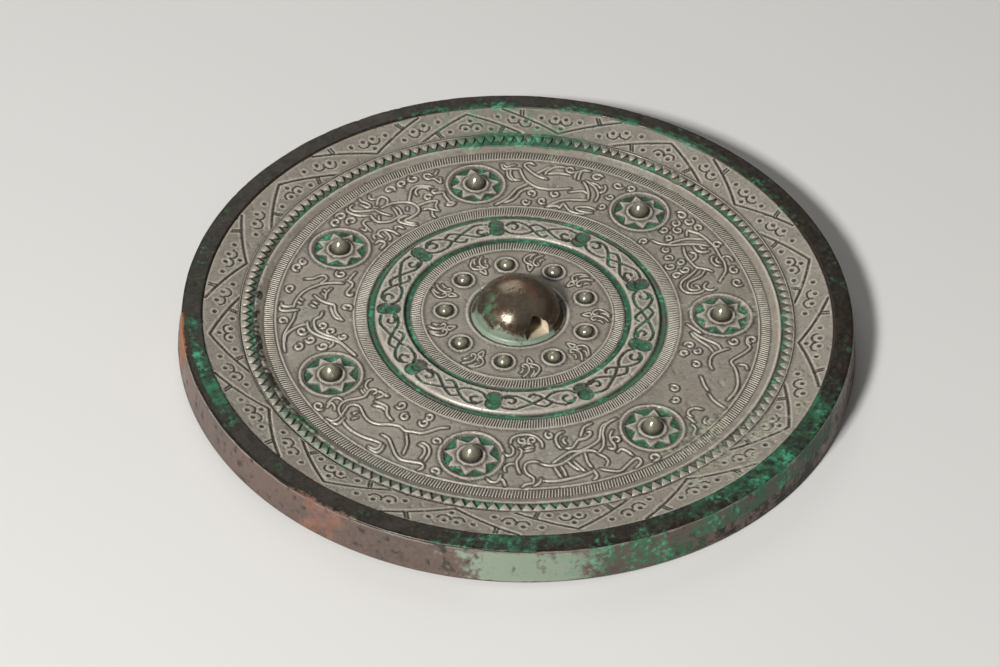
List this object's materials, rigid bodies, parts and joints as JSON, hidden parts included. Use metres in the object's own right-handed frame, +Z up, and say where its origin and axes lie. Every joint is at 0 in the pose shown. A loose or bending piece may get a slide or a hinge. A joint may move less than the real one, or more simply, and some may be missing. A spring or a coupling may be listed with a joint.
{
  "type": "ancient bronze mirror",
  "caption": "Round cast bronze mirror lying on its reflecting face, with a pierced domed knob, star bosses, thread-relief beasts, a sawtooth ring and a thick zigzag rim.",
  "frame": {"origin": "middle of the small flat on the reflecting face, in the plane the mirror lies on", "axes": "+Z up out of the decorated back, through the knob; the cord tunnel in the knob runs along Y"},
  "size_m": [0.21, 0.21, 0.0189],
  "materials": {
    "bronze": "cast high-tin bronze with a silver-grey patina on the relief, malachite green in the sunk rings, a dark brown and green plain band, and a brown, red and pale green wall"
  },
  "bodies": {
    "root": {"mirror": "bronze"}
  },
  "joints": []
}
